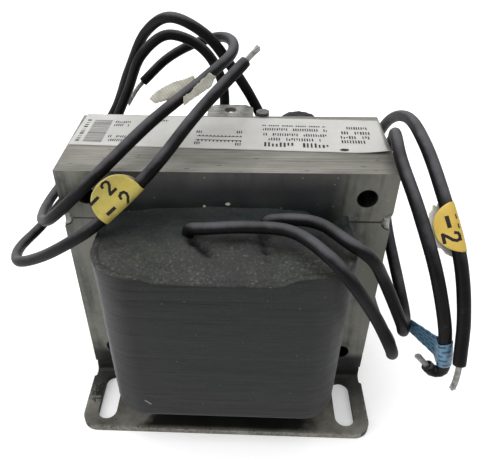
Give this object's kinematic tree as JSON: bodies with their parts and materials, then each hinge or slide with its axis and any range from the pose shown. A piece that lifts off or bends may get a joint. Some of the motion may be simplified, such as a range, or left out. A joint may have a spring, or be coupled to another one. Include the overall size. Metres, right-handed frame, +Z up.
{
  "type": "control transformer",
  "caption": "Open-frame control transformer: stacked steel core on a slotted base, dark coil ends front and back, flying leads with marker tags.",
  "frame": {"origin": "bottom centre of the base, in the plane the flanges rest on", "axes": "+Z up, +X along the core's width, -Y towards the coil end that the primary leads leave"},
  "size_m": [0.1346, 0.1086, 0.1169],
  "materials": {
    "base": "varnished pressed steel, scuffed at the edges",
    "laminations": "varnished silicon steel laminations, brushed edges",
    "weld": "bare weld metal",
    "winding": "varnished winding with paper layers",
    "coil_wrap": "dark varnished tape",
    "coil_filling": "dusty varnish",
    "label": "satin sticker",
    "earth_tab": "bare steel",
    "lead": "black insulation",
    "wire": "tinned copper strands",
    "yellow_tag": "printed tag",
    "tag_back": "paper back of a tag",
    "blue_tape": "printed tape"
  },
  "bodies": {
    "root": {"base": "base", "e_laminations": "laminations", "i_laminations": "laminations", "left_weld_bead": "weld", "right_weld_bead": "weld", "winding": "winding", "front_coil_wrap": "coil_wrap", "rear_coil_wrap": "coil_wrap", "front_coil_filling": "coil_filling", "rear_coil_filling": "coil_filling", "rear_varnish_lump": "coil_filling", "nameplate_label": "label", "earth_tab": "earth_tab", "earth_tab_weld": "weld", "weld_nub": "weld", "primary_lead_a": "lead", "primary_lead_b": "lead", "secondary_lead_a": "lead", "secondary_lead_b": "lead", "primary_wire_a": "wire", "primary_wire_b": "wire", "secondary_wire_a": "wire", "secondary_wire_b": "wire", "primary_tag": "yellow_tag", "secondary_tag_b": "yellow_tag", "secondary_tag_a": "tag_back", "tape_flag": "blue_tape"}
  },
  "joints": []
}
